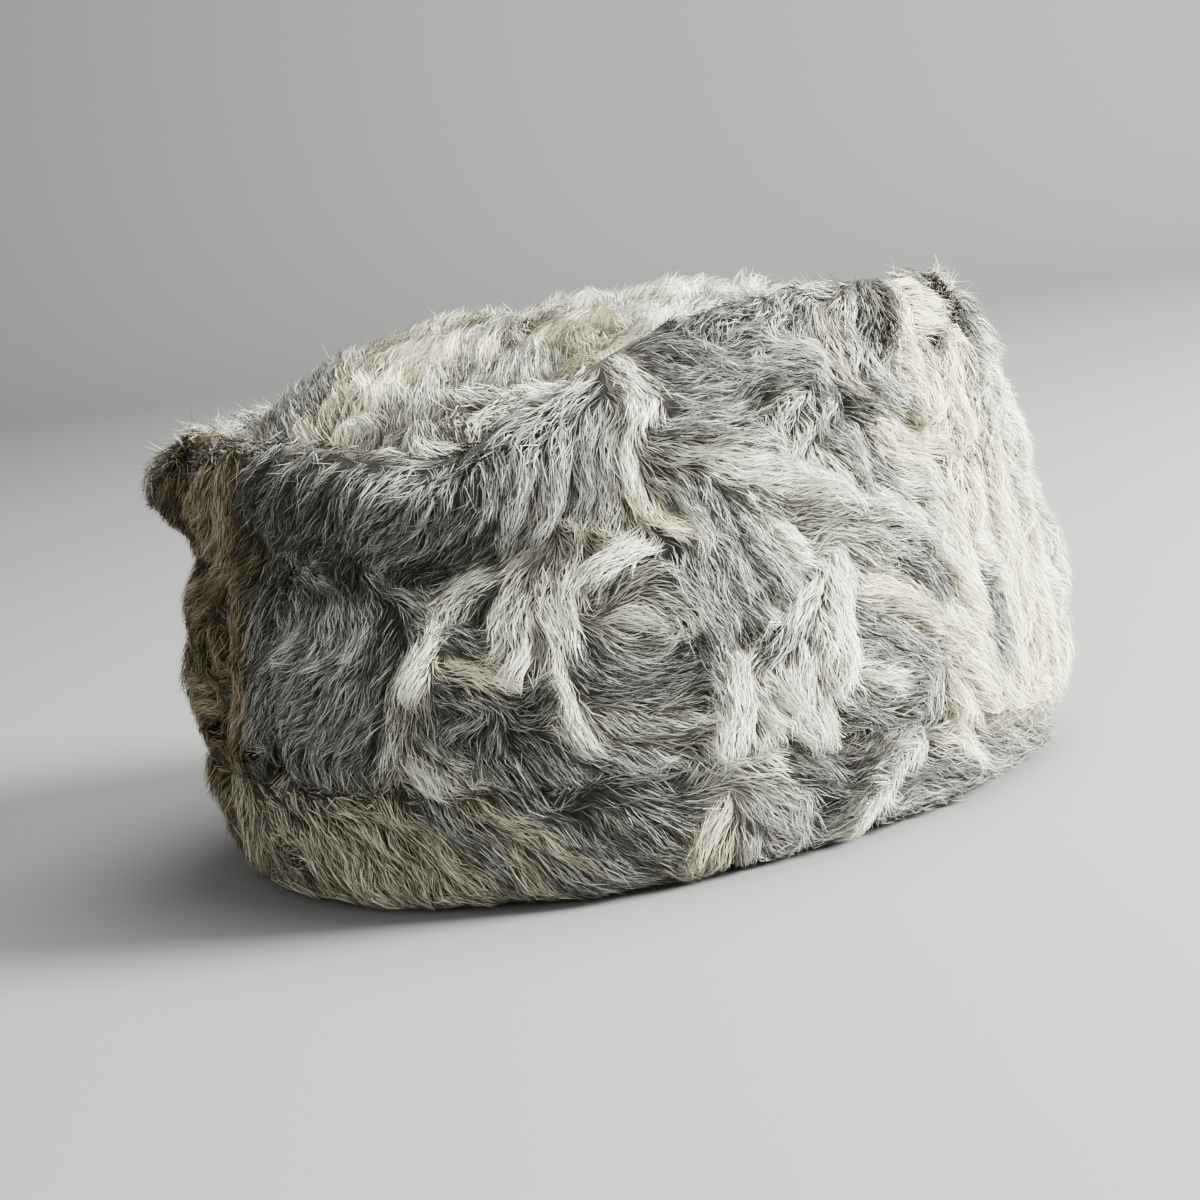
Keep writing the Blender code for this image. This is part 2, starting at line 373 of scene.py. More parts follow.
def peltInset(values, vertex, shown):
    # how far the hide lies inside the solid's face, less at the seams and along the thin crest
    beside = [tree for name, tree in trees.items() if name != values["node"]]
    toSeam = min(tree.find_nearest(vertex.co)[3] for tree in beside)
    nearSeam = math.exp(-(toSeam / fur["seamReach"]) ** 2)
    inset = values["inset"] * shown * (1 - hide["seamInset"] * nearSeam)
    if values["node"] == "side_wall":
        inset *= min(hide["crestInset"] + crestDrop(vertex.co) / fur["crestDepth"], 1)
        if outward(vertex.co, vertex.normal) < hide["skinSide"]:
            inset = 0.0
    if values["node"] == "crown_tip" and nearSeam > 0.5:
        inset -= fur["rimReach"] * (2 * nearSeam - 1)
    return inset


def makePelt(name):
    values = pelts[name]
    pelt = bpy.data.objects.new(name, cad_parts[values["node"]].data.copy())
    bpy.context.scene.collection.objects.link(pelt)
    pelt.data.materials.clear()
    pelt.data.materials.append(peltFinish(name + "Hide"))
    mesh = bmesh.new()
    mesh.from_mesh(pelt.data)
    bmesh.ops.remove_doubles(mesh, verts=mesh.verts, dist=hide["merge"])
    bmesh.ops.join_triangles(
        mesh, faces=mesh.faces,
        angle_face_threshold=hide["quadAngle"], angle_shape_threshold=hide["quadAngle"],
        cmp_seam=False, cmp_sharp=False, cmp_uvs=False, cmp_vcols=False, cmp_materials=False,
    )
    mesh.to_mesh(pelt.data)
    mesh.free()
    makeActive(pelt)
    smooth = pelt.modifiers.new("smooth", "SUBSURF")
    smooth.levels = 1
    smooth.render_levels = 1
    bpy.ops.object.modifier_apply(modifier=smooth.name)
    mesh = bmesh.new()
    mesh.from_mesh(pelt.data)
    mesh.normal_update()
    furSide = mesh.verts.layers.float.new("furSide")
    places = {}
    for vertex in mesh.verts:
        vertex[furSide] = furShare(values["node"], vertex)
        places[vertex] = vertex.co - vertex.normal * peltInset(values, vertex, vertex[furSide])
    for vertex, place in places.items():
        vertex.co = place
    mesh.to_mesh(pelt.data)
    mesh.free()
    pelt.data.shade_smooth()
    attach(pelt, "root")
    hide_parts(values["node"])
    return pelt


peltPieces = {name: makePelt(name) for name in pelts}
print("pelts cut and shaped")

# kinds of lock: share of dark hairs, shade of its light hairs (0 to 1), warmth (0 grey to 3 tan)
# and how far it stands out from its neighbours (0 to 1)
lockKinds = {
    "white": (0.04, 1.0, 1, 1.0),
    "cream": (0.05, 0.99, 2, 0.7),
    "silver": (0.38, 0.84, 0, 0.75),
    "pearl": (0.24, 0.91, 1, 0.9),
    "grey": (0.52, 0.75, 0, 0.5),
    "sand": (0.28, 0.86, 2, 0.6),
    "slate": (0.66, 0.62, 1, 0.45),
    "tan": (0.42, 0.64, 3, 0.6),
    "brown": (0.60, 0.52, 3, 0.5),
}

# Locks on the side that the photo shows, charted in its pixels:
# start, middle and end across and down, then the lock's width where it isn't the usual one
lockChart = {
    "white": [
        (722, 466, 775, 468, 844, 500, 38), (675, 453, 705, 458, 728, 468, 16),
        (628, 430, 625, 460, 630, 485, 14), (540, 395, 510, 410, 480, 440), (600, 345, 625, 375, 640, 415),
        (645, 385, 650, 405, 640, 430), (480, 575, 440, 625, 415, 690, 22),
        (835, 553, 835, 610, 840, 672, 45), (860, 500, 905, 515, 938, 552),
        (655, 540, 630, 550, 600, 575, 30), (545, 580, 552, 640, 561, 692, 16),
        (567, 690, 573, 715, 590, 735, 12), (690, 765, 730, 760, 765, 755, 18),
        (592, 622, 625, 612, 655, 620), (730, 680, 732, 710, 728, 745, 36),
        (914, 744, 880, 785, 848, 832, 28), (781, 680, 810, 720, 857, 772, 38),
        (853, 672, 873, 672, 893, 678, 14), (985, 340, 990, 390, 1000, 440),
        (1000, 350, 1012, 400, 1020, 450), (1035, 480, 1045, 540, 1052, 600),
        (720, 750, 745, 752, 771, 765), (610, 320, 640, 330, 660, 320), (640, 295, 680, 290, 720, 298),
        (560, 310, 590, 305, 620, 310), (755, 500, 775, 530, 800, 560), (925, 475, 930, 510, 938, 545),
        (330, 462, 370, 455, 408, 468, 16), (400, 755, 440, 775, 480, 800), (575, 570, 570, 610, 575, 650),
        (520, 570, 505, 610, 500, 650), (525, 600, 520, 640, 515, 670),
    ],
    "cream": [
        (900, 285, 920, 300, 935, 322), (890, 355, 905, 380, 920, 405), (945, 345, 940, 380, 930, 410),
        (630, 485, 645, 510, 672, 535, 16), (880, 420, 900, 440, 930, 445), (890, 450, 915, 460, 930, 480),
        (950, 440, 945, 470, 950, 500), (944, 515, 955, 560, 970, 612, 28),
        (866, 588, 915, 600, 965, 640, 30), (930, 610, 960, 650, 985, 690),
        (985, 440, 990, 500, 1000, 560), (1010, 440, 1020, 500, 1030, 560),
        (1000, 560, 1008, 620, 1015, 680), (1030, 560, 1040, 620, 1045, 690),
        (1055, 600, 1065, 650, 1062, 715), (975, 640, 995, 680, 1020, 712), (945, 711, 955, 740, 972, 762),
        (540, 345, 565, 340, 590, 350, 30), (440, 668, 475, 676, 512, 680, 16),
        (562, 522, 582, 530, 603, 534, 14), (370, 420, 390, 390, 420, 370), (440, 390, 450, 360, 480, 345),
    ],
    "pearl": [
        (845, 300, 840, 330, 850, 360), (205, 460, 225, 452, 250, 452, 12),
        (330, 456, 360, 455, 395, 460, 12), (810, 390, 775, 410, 765, 440), (835, 400, 800, 430, 790, 450),
        (845, 430, 850, 460, 846, 497), (700, 430, 730, 440, 770, 440), (800, 520, 850, 510, 900, 530),
        (800, 550, 840, 530, 890, 545), (500, 575, 470, 600, 448, 630), (650, 440, 670, 445, 690, 455),
        (700, 790, 740, 775, 780, 790), (930, 672, 915, 700, 905, 720), (410, 430, 430, 400, 445, 375),
        (500, 390, 520, 370, 540, 360), (592, 620, 620, 590, 655, 575), (594, 625, 620, 640, 650, 625),
        (640, 590, 665, 600, 690, 625), (600, 715, 645, 725, 697, 715, 16), (480, 350, 500, 340, 520, 345),
        (745, 850, 720, 865, 695, 885), (400, 690, 400, 730, 390, 760),
    ],
    "silver": [
        (580, 395, 550, 420, 520, 450), (560, 430, 555, 480, 540, 530), (590, 430, 588, 480, 580, 535),
        (530, 440, 520, 480, 505, 530), (335, 590, 335, 630, 320, 670), (365, 600, 365, 640, 345, 685),
        (645, 430, 690, 425, 740, 415), (665, 475, 690, 500, 700, 540), (740, 500, 755, 540, 785, 580),
        (715, 530, 735, 570, 760, 610), (860, 350, 870, 375, 895, 400), (600, 640, 630, 660, 660, 640),
        (740, 785, 780, 820, 812, 836), (812, 836, 835, 820, 855, 800), (605, 425, 605, 470, 608, 520),
        (800, 300, 775, 320, 750, 345, 14), (375, 575, 400, 595, 425, 617), (580, 745, 620, 755, 660, 758),
        (760, 345, 800, 350, 815, 385), (305, 580, 305, 620, 290, 660), (255, 456, 285, 452, 315, 455, 12),
    ],
    "grey": [
        (470, 480, 430, 505, 385, 535), (475, 510, 430, 535, 390, 555), (500, 440, 490, 480, 470, 520),
        (275, 575, 272, 610, 262, 650), (290, 640, 275, 680, 262, 710), (325, 660, 305, 690, 295, 720),
        (355, 670, 335, 700, 325, 740), (385, 660, 378, 700, 365, 745), (275, 690, 262, 730, 275, 770),
        (305, 710, 298, 740, 310, 775), (335, 730, 325, 755, 345, 785), (365, 735, 355, 765, 375, 790),
        (410, 470, 375, 500, 350, 530), (650, 365, 700, 375, 745, 370), (645, 385, 700, 395, 745, 385),
        (600, 660, 640, 670, 680, 655), (590, 690, 640, 690, 690, 680), (610, 780, 650, 785, 690, 775),
        (570, 645, 610, 672, 655, 660), (500, 650, 470, 640, 446, 636), (500, 700, 470, 720, 450, 745),
        (450, 740, 520, 770, 580, 800), (520, 740, 570, 770, 620, 820), (850, 690, 880, 720, 920, 690, 20),
        (850, 715, 880, 740, 915, 725), (893, 770, 930, 760, 965, 765), (880, 810, 920, 800, 960, 790),
        (870, 650, 900, 665, 930, 670), (858, 615, 890, 635, 925, 660), (905, 560, 925, 575, 935, 600),
        (985, 580, 990, 600, 1000, 620, 16), (975, 730, 1000, 740, 1030, 735),
        (960, 775, 990, 765, 1015, 750), (640, 345, 680, 350, 720, 365), (720, 350, 760, 335, 790, 350),
        (640, 800, 670, 810, 700, 800), (560, 870, 610, 885, 660, 893), (300, 430, 305, 400, 330, 370),
        (540, 820, 590, 855, 640, 880), (480, 780, 540, 815, 590, 850), (700, 480, 715, 520, 730, 560),
        (672, 560, 690, 600, 715, 640), (765, 570, 785, 610, 765, 650), (805, 410, 835, 440, 862, 490),
        (430, 800, 480, 840, 530, 880), (450, 690, 490, 700, 530, 690), (500, 700, 530, 715, 552, 690),
    ],
    "sand": [
        (480, 800, 540, 830, 590, 860), (380, 800, 430, 840, 480, 880), (290, 790, 340, 830, 380, 885),
        (330, 800, 390, 840, 430, 890), (500, 850, 550, 885, 600, 900), (330, 430, 345, 400, 370, 375),
        (825, 335, 835, 365, 850, 390), (450, 315, 480, 305, 510, 305), (245, 785, 290, 820, 330, 870),
        (250, 800, 262, 840, 290, 880), (400, 350, 440, 335, 480, 325), (725, 795, 705, 830, 690, 870),
    ],
    "slate": [
        (300, 445, 262, 470, 255, 530), (320, 450, 290, 490, 280, 550), (345, 460, 315, 500, 300, 560),
        (370, 470, 345, 510, 335, 560), (480, 545, 440, 560, 405, 570), (355, 520, 350, 550, 350, 580),
        (395, 540, 400, 560, 415, 580), (470, 460, 455, 500, 440, 530), (485, 520, 460, 545, 440, 560),
        (395, 620, 385, 650, 378, 680), (745, 300, 715, 325, 700, 345), (580, 780, 620, 820, 670, 850),
        (761, 754, 800, 765, 834, 784), (940, 305, 938, 325, 935, 345), (880, 295, 885, 325, 880, 355),
        (866, 292, 870, 320, 866, 345), (728, 492, 748, 502, 770, 510, 12), (790, 285, 795, 300, 785, 322),
        (735, 420, 765, 395, 800, 388), (800, 385, 830, 398, 870, 405),
    ],
    "tan": [
        (215, 445, 205, 480, 200, 530), (235, 450, 228, 500, 232, 560), (200, 560, 195, 590, 190, 620),
        (225, 560, 218, 600, 222, 615), (232, 605, 205, 622, 215, 650), (205, 640, 215, 665, 235, 675),
        (195, 620, 183, 660, 195, 690), (225, 700, 210, 710, 228, 732), (190, 700, 200, 740, 222, 765),
        (246, 560, 243, 620, 246, 680), (246, 680, 244, 720, 250, 762), (235, 790, 238, 820, 250, 855),
    ],
    "brown": [
        (185, 470, 178, 510, 190, 560), (240, 450, 244, 500, 246, 555),
    ],
}

# hollows between the locks, where the fur dips and is darkened with painted shade, in the photo's pixels:
# across, down, radius
hollowChart = [
    (195, 478, 14), (195, 672, 8), (220, 692, 9), (237, 575, 7), (237, 600, 7), (237, 625, 7),
    (237, 650, 7), (237, 675, 7), (237, 700, 7), (238, 725, 7), (238, 745, 7), (316, 597, 11),
    (335, 592, 14), (360, 590, 14), (385, 583, 13), (413, 574, 13), (438, 566, 11), (820, 310, 8),
    (824, 330, 8), (790, 385, 8), (760, 403, 8), (798, 452, 10), (824, 470, 10), (828, 422, 8),
    (755, 603, 13), (740, 638, 12), (698, 642, 12), (812, 648, 8), (828, 668, 9), (941, 580, 6),
    (892, 562, 7), (912, 575, 8), (904, 476, 6), (948, 486, 7), (1016, 687, 6), (1040, 670, 6),
    (1063, 630, 5), (650, 535, 7), (664, 555, 7), (480, 621, 7), (550, 537, 7), (592, 540, 7),
    (488, 563, 7), (493, 759, 7), (461, 687, 8), (478, 860, 7), (536, 874, 10), (748, 830, 10),
    (763, 702, 10), (944, 690, 9), (1005, 720, 7), (322, 790, 8), (366, 781, 8), (460, 394, 9),
    (530, 326, 9), (558, 291, 6), (590, 303, 6), (381, 445, 10), (405, 440, 10), (366, 455, 10),
    (848, 486, 10), (758, 500, 10), (806, 575, 7), (802, 605, 8), (800, 514, 9), (868, 600, 5),
    (868, 630, 5), (852, 690, 7), (712, 484, 9), (835, 405, 6), (770, 402, 6),
]

# where the fur is pressed flat, in the same way
flatChart = [(152, 482, 48)]

# each fur cover: its pelt, how many pieces it is cut into, strands, their length, how high the
# locks puff up, the spacing, length and half width of the locks that the chart doesn't give, and
# how they lie: heading is the flow's slope below level, swirl how far the curls turn from it
covers = {
    "sideFur": {
        "pelt": "sidePelt", "pieces": 4, "strands": 212000, "nodes": 52000, "length": 0.0066, "puff": 0.0066,
        "spacing": 0.0054, "lockLength": (0.009, 0.017), "halfWidth": (0.0022, 0.0032),
        "heading": -78, "swirl": 75, "bend": 70,
        "kinds": {"cream": 3, "white": 3, "pearl": 4, "silver": 4, "grey": 5, "sand": 1, "slate": 3},
    },
    "bandFur": {
        "pelt": "bandPelt", "pieces": 1, "strands": 46000, "nodes": 13000, "length": 0.0082, "puff": 0.0052,
        "spacing": 0.0056, "lockLength": (0.012, 0.022), "halfWidth": (0.0022, 0.0032),
        "heading": -28, "swirl": 30, "bend": 25,
        "kinds": {"pearl": 3, "silver": 3, "sand": 4, "grey": 4, "slate": 2, "brown": 1},
    },
    "crownFur": {
        "pelt": "crownPelt", "pieces": 1, "strands": 48000, "nodes": 16000, "length": 0.0060, "puff": 0.0072,
        "spacing": 0.0060, "lockLength": (0.008, 0.013), "halfWidth": (0.0023, 0.0032),
        "heading": 0, "swirl": 110, "bend": 110,
        "kinds": {
            "pearl": 3, "white": 1, "cream": 1, "silver": 3, "grey": 5, "sand": 5, "slate": 3, "brown": 1,
        },
    },
}


def unit(vectors):
    return vectors / np.maximum(np.linalg.norm(vectors, axis=-1, keepdims=True), 1e-9)


def skinSurface(pelt):
    # the fur side of a pelt as triangles and as a tree to project on
    mesh = pelt.data
    mesh.calc_loop_triangles()
    places = np.empty(len(mesh.vertices) * 3)
    mesh.vertices.foreach_get("co", places)
    places = places.reshape(-1, 3)
    shown = np.empty(len(mesh.vertices))
    mesh.attributes["furSide"].data.foreach_get("value", shown)
    corners = np.empty(len(mesh.loop_triangles) * 3, dtype=np.int32)
    mesh.loop_triangles.foreach_get("vertices", corners)
    corners = corners.reshape(-1, 3)
    corners = corners[shown[corners].mean(axis=1) > 0.5]
    corners = corners[places[corners][:, :, 2].max(axis=1) > fur["rimBare"]]
    return places, corners, BVHTree.FromPolygons([Vector(place) for place in places], corners.tolist())


def scatterRoots(places, corners, count, random):
    # evenly spread points with the normals of their triangles
    triangles = places[corners]
    edges = np.cross(triangles[:, 1] - triangles[:, 0], triangles[:, 2] - triangles[:, 0])
    areas = np.linalg.norm(edges, axis=1)
    normals = edges / areas[:, None]
    shares = np.cumsum(areas) / areas.sum()
    picks = np.searchsorted(shares, (np.arange(count) + random.random(count)) / count)
    first = np.sqrt(random.random(count))[:, None]
    second = random.random(count)[:, None]
    inside = triangles[picks]
    roots = (1 - first) * inside[:, 0] + first * (1 - second) * inside[:, 1] + first * second * inside[:, 2]
    return roots, normals[picks]


def chartedSpines(surfaces):
    # each charted lock, cast from the camera onto the pelt that it hits first
    spines = {name: [] for name in covers}
    for kind, rows in lockChart.items():
        for row in rows:
            start, middle, end = (np.array(row[at:at + 2], dtype=float) for at in (0, 2, 4))
            bend = 2 * middle - 0.5 * (start + end)
            width = (row[6] if len(row) > 6 else fur["usualWidth"]) * fur["pixelSize"]
            hits = []
            for share in np.linspace(0, 1, fur["castPoints"]):
                pixel = (1 - share) ** 2 * start + 2 * share * (1 - share) * bend + share ** 2 * end
                hits.append(castPixel(surfaces, *pixel))
            owner = hits[len(hits) // 2][0]
            path = longestRun([place for name, place in hits if name == owner])
            if len(path) > 2:
                spines[owner].append((even(path), width / 2, kind))
    return spines


def longestRun(path):
    # the longest stretch of a cast lock that doesn't jump across an edge
    runs = [[path[0]]]
    for place in path[1:]:
        if (place - runs[-1][-1]).length < fur["longestJump"]:
            runs[-1].append(place)
        else:
            runs.append([place])
    return max(runs, key=len)


def castPixel(surfaces, column, row):
    eye, direction = photoRay(camera, column, row)
    nearest = None
    for name, (_, _, tree) in surfaces.items():
        place, _, _, reach = tree.ray_cast(eye, direction)
        if place is not None and (nearest is None or reach < nearest[2]):
            nearest = (name, place, reach)
    if nearest is None:
        beside = eye + direction * shot["distance"]
        for name, (_, _, tree) in surfaces.items():
            place, _, _, reach = tree.find_nearest(beside)
            if nearest is None or reach < nearest[2]:
                nearest = (name, place, reach)
    return nearest[0], nearest[1]


def castSpots(surfaces, chart):
    # charted spots as places on the pelts and radii in metres
    places = [castPixel(surfaces, column, row)[1] for column, row, _ in chart]
    return [(np.array(place), spot[2] * fur["pixelSize"]) for place, spot in zip(places, chart)]


def even(path):
    # the same path with its points one step apart
    points = np.array([list(place) for place in path])
    lengths = np.concatenate([[0], np.cumsum(np.linalg.norm(np.diff(points, axis=0), axis=1))])
    count = max(int(lengths[-1] / fur["stepLength"]), 2)
    at = np.linspace(0, lengths[-1], count)
    return np.stack([np.interp(at, lengths, points[:, axis]) for axis in range(3)], axis=1)


def flowAt(cover, place, normal, values):
    # the way the fur lies at a place, along the skin; inside the crest it runs up and over
    large, small = fur["swirls"]
    sway = noise.noise(place * large + Vector((3.1, 0.4, 7.7))) + 0.5 * noise.noise(place * small)
    turn = math.radians(values["heading"] + values["swirl"] * sway)
    if cover == "crownFur":
        level = Vector((0, -1, 0))
    else:
        level = Vector((0, 0, 1)).cross(normal)
    level = (level - normal * level.dot(normal)).normalized()
    way = level * math.cos(turn) + normal.cross(level) * math.sin(turn)
    if cover == "crownFur":
        toSeam = trees["side_wall"].find_nearest(place)[3] / fur["rimTurn"]
        way += Vector((place.x, place.y, 0)).normalized() * 2 * math.exp(-toSeam ** 2)
    if cover == "sideFur":
        inside = outward(place, normal) < hide["skinSide"]
        toCrest = crestDrop(place) / fur["crestTurn"]
        way += Vector((0, 0, 1)) * (3 if inside else 2 * math.exp(-toCrest ** 2))
    return (way - normal * way.dot(normal)).normalized()


def makeGuides(charted):
    # the charted locks' points, each with the way that it runs and its kind
    points, ways, kinds = [], [], []
    for path, _, kind in charted:
        points += list(path)
        ways += list(unit(np.gradient(path, axis=0)))
        kinds += [kind] * len(path)
    tree = KDTree(len(points))
    for index, point in enumerate(points):
        tree.insert(point, index)
    tree.balance()
    return tree, ways, kinds


def readGuides(guides, place, random):
    # how strongly the charted locks lead here, which way, and the kind of one of them
    tree, ways, kinds = guides
    found = tree.find_n(place, 6)
    if not found:
        return 0.0, Vector(), None
    pull = math.exp(-(found[0][2] / fur["guideReach"]) ** 2)
    way = Vector()
    for _, index, reach in found:
        way += Vector(ways[index]) / (reach ** 2 + 1e-5)
    return pull, way.normalized(), kinds[found[random.integers(len(found))][1]]


def growSpine(cover, tree, start, normal, values, random, guides):
    # a lock from its root, curling as it goes along the skin
    direction = flowAt(cover, start, normal, values)
    pull, way, _ = readGuides(guides, start, random)
    direction = direction * (1 - pull) + way * pull
    direction = Matrix.Rotation(random.normal(0, 0.35), 3, normal) @ direction
    length = random.uniform(*values["lockLength"])
    steps = int(length / fur["stepLength"])
    curl = math.radians(values["bend"] * random.uniform(-1, 1)) / steps
    path = [start]
    place = start
    for _ in range(steps):
        direction = Matrix.Rotation(curl, 3, normal) @ direction
        direction = (direction - normal * direction.dot(normal)).normalized()
        place, normal, _, _ = tree.find_nearest(place + direction * fur["stepLength"])
        path.append(place.copy())
    return np.array([list(point) for point in path])


def fillSpines(cover, surface, charted, random):
    # locks where the chart has none, kept a spacing apart
    values = covers[cover]
    places, corners, tree = surface
    starts, normals = scatterRoots(places, corners, fur["starts"], random)
    order = random.permutation(len(starts))
    kinds = list(values["kinds"])
    weights = np.array([values["kinds"][kind] for kind in kinds], dtype=float)
    guides = makeGuides(charted)
    taken = [spine for spine, _, _ in charted]
    taken = np.concatenate(taken) if taken else np.empty((0, 3))
    grown = []
    for at in order:
        if len(taken) and ((taken - starts[at]) ** 2).sum(axis=1).min() < values["spacing"] ** 2:
            continue
        path = growSpine(cover, tree, Vector(starts[at]), Vector(normals[at]), values, random, guides)
        shade = 0.5 + 0.9 * noise.noise(Vector(starts[at]) * fur["patches"])
        chance = weights * np.exp(-6 * (np.linspace(0, 1, len(kinds)) - shade) ** 2)
        kind = kinds[random.choice(len(kinds), p=chance / chance.sum())]
        pull, _, led = readGuides(guides, starts[at], random)
        if led and pull > random.random() * 0.5:
            kind = led
        grown.append((path, random.uniform(*values["halfWidth"]), kind))
        taken = np.concatenate([taken, path])
    return grown


lockForm = {
    "neighbours": 14,       # points of the locks that one node of the skin looks at
    "flowSpread": 0.0023,   # how far the locks' ways blend into each other
    "nearestSpread": 0.6,   # and at least this share of the way to the nearest lock
    "puffRange": (0.75, 1.2),
    "leastStand": (0.85, 0.55),  # of charted locks and of grown ones, as a share of their kind's
    "grownReach": 1.25,     # grown locks give way to charted ones by this factor
    "domeReach": 1.25,      # half widths from a lock's middle to its foot
    "leastDome": 0.03,      # the square of the lowest height between locks
    "rootRise": 0.62,       # share of its height that a lock has at its root
    "tipRise": 0.45,        # and what it gains up to its tip
    "flatHeight": 0.72,     # height of a lock that doesn't stand out, as a share
    "mixing": 2.2,          # how soon the kinds mix away from a lock's middle
    "pressed": 0.7,         # what a charted flat takes off the height
    "crestHeight": 0.35,    # share of its height that the fur has on the crest
    "openGain": 1.15,       # how much sooner a place counts as open than as full
    "hollowEdge": 1.3,      # a hollow fades out at this factor of its radius
    "hollowDepth": 0.80,    # what a charted hollow takes off the height
    "hollowShade": 0.85,    # and off the light
}


def combSkin(cover, surface, spines, chartedCount, hollows, flats, random):
    # nodes all over the skin: which way the fur lies there, how high it stands, how much light
    # reaches it and which kinds of lock mix
    values = covers[cover]
    places, corners, _ = surface
    nodes, normals = scatterRoots(places, corners, values["nodes"], random)
    paths = [path for path, _, _ in spines]
    points = np.concatenate(paths)
    ways = np.concatenate([unit(np.gradient(path, axis=0)) for path in paths])
    owners = np.concatenate([np.full(len(path), index) for index, path in enumerate(paths)])
    along = np.concatenate([np.linspace(0, 1, len(path)) for path in paths])
    halfWidths = np.array([width for _, width, _ in spines])
    puffs = values["puff"] * random.uniform(*lockForm["puffRange"], len(spines))
    names = list(lockKinds)
    kinds = np.array([names.index(kind) for _, _, kind in spines])
    stands = np.array([lockKinds[kind][3] for _, _, kind in spines])
    leastStand = np.where(np.arange(len(spines)) < chartedCount, *lockForm["leastStand"])
    stands *= random.uniform(leastStand, 1.0)
    tree = KDTree(len(points))
    for index, point in enumerate(points):
        tree.insert(point, index)
    tree.balance()
    count = len(nodes)
    way = np.empty((count, 3))
    aside = np.empty((count, 3))
    height = np.empty(count)
    full = np.empty(count)
    mixed = np.empty((count, 4), dtype=int)
    for at in range(count):
        found = tree.find_n(nodes[at], lockForm["neighbours"])
        near = np.array([index for _, index, _ in found])
        reach = np.array([distance for _, _, distance in found])
        spread = max(lockForm["flowSpread"], lockForm["nearestSpread"] * reach[0])
        weight = np.exp(-(reach / spread) ** 2)
        weight /= weight.sum()
        way[at] = weight @ ways[near]
        share = reach / halfWidths[owners[near]]
        share *= np.where(owners[near] < chartedCount, 1.0, lockForm["grownReach"])
        best = near[np.argmin(share)]
        aside[at] = points[best] - nodes[at]
        dome = math.sqrt(max(1 - (share.min() / lockForm["domeReach"]) ** 2, lockForm["leastDome"]))
        stand = stands[owners[best]]
        full[at] = 1 - stand * (1 - dome * (lockForm["rootRise"] + lockForm["tipRise"] * along[best]))
        flatHeight = lockForm["flatHeight"]
        height[at] = puffs[owners[best]] * full[at] * (flatHeight + (1 - flatHeight) * stand)
        mixed[at] = kinds[owners[near[random.choice(len(near), 4, p=weight)]]]
        mixed[at, :max(4 - int(lockForm["mixing"] * share.min()), 1)] = kinds[owners[best]]
    way -= normals * (way * normals).sum(axis=1, keepdims=True)
    aside -= normals * (aside * normals).sum(axis=1, keepdims=True)
    finder = KDTree(count)
    for index, node in enumerate(nodes):
        finder.insert(node, index)
    finder.balance()
    inHollow = hollowShare(nodes, hollows)
    height *= 1 - lockForm["pressed"] * hollowShare(nodes, flats)
    onCrest = np.zeros(count)
    if cover == "sideFur":
        drops = np.array([crestDrop(Vector(node)) for node in nodes])
        height *= np.clip(lockForm["crestHeight"] + drops / fur["crestDepth"], 0, 1)
        onCrest = np.exp(-(drops / fur["crestTurn"]) ** 2)
    return {
        "nodes": nodes, "normals": normals, "way": unit(way), "aside": aside, "kinds": mixed,
        "height": height * (1 - lockForm["hollowDepth"] * inHollow),
        # painted shade: crevices between locks and charted hollows get less light in the strands' colour
        "open": np.clip(lockForm["openGain"] * full, 0, 1) * (1 - lockForm["hollowShade"] * inHollow),
        "onCrest": onCrest, "finder": finder,
    }


def nodesAt(skin, points):
    find = skin["finder"].find
    return np.array([find(point)[1] for point in points])


strand = {
    "rows": (0.0, 0.4, 1.0),  # where a strand has its points, from root to tip
    "width": 0.00028,
    "widthRange": (0.75, 1.25),
    "lengthRange": (0.70, 1.25),
    "fullRange": (0.80, 1.10),
    "gatherRange": (0.0, 0.55),  # how far strands are drawn in to the middle of their lock
    "drift": 0.13,          # how far their ways differ, and how far each bends
    "bend": 0.30,
    "liftRange": (0.0, 0.0005),
    "scatter": 0.00025,
    "undercoat": 0.38,      # share of the strands that are short and lie close
    "underLength": 0.75,
    "underFull": 0.6,
    "underGather": 0.2,
    "strays": 0.05,         # share that stands out of the locks, and how much it grows at the crest
    "crestStrays": 0.22,
    "strayDrift": 3,
    "strayLift": (0.0006, 0.0022),
    "strayScatter": 0.0012,
    "strayWidth": 0.4,
    "strayKind": "pearl",   # half of the strays are of this kind
    "crestLift": 1.2,
    "swayAngle": 0.19,      # the fur's waves: how far they turn, and their pace in radians a metre
    "swayWaves": ((420, -260, 330), (-310, 480, 520)),
    "shaded": 0.16,         # share of the strands that lie in the shade of others
    "shadedLight": 0.4,
    "shade": 0.10,          # painted shade: a strand deep in a crevice keeps this share of its light, so it shows its colour only this far up its length
    "paleFrom": 0.55,       # strands lighter than this are pale from the root on, with less painted shade there
    "paleGain": 1.1,
    "palest": 0.5,
    "riseCurve": 2.2,       # how steeply a strand leaves the skin
    "droop": 0.15,          # share of its height that it loses again at its tip
    "hairs": 1.6,           # hairs side by side on a strand
    "stripes": 32,          # different hairs of each kind
    "facing": 0.35,         # how far the ribbons turn from facing outwards
    "taperCurve": 1.6,      # how late its scatter and its taper come along a strand
    "rootTaper": 0.45,      # how much narrower a strand is at its root and at its tip
    "tipTaper": 0.3,
}


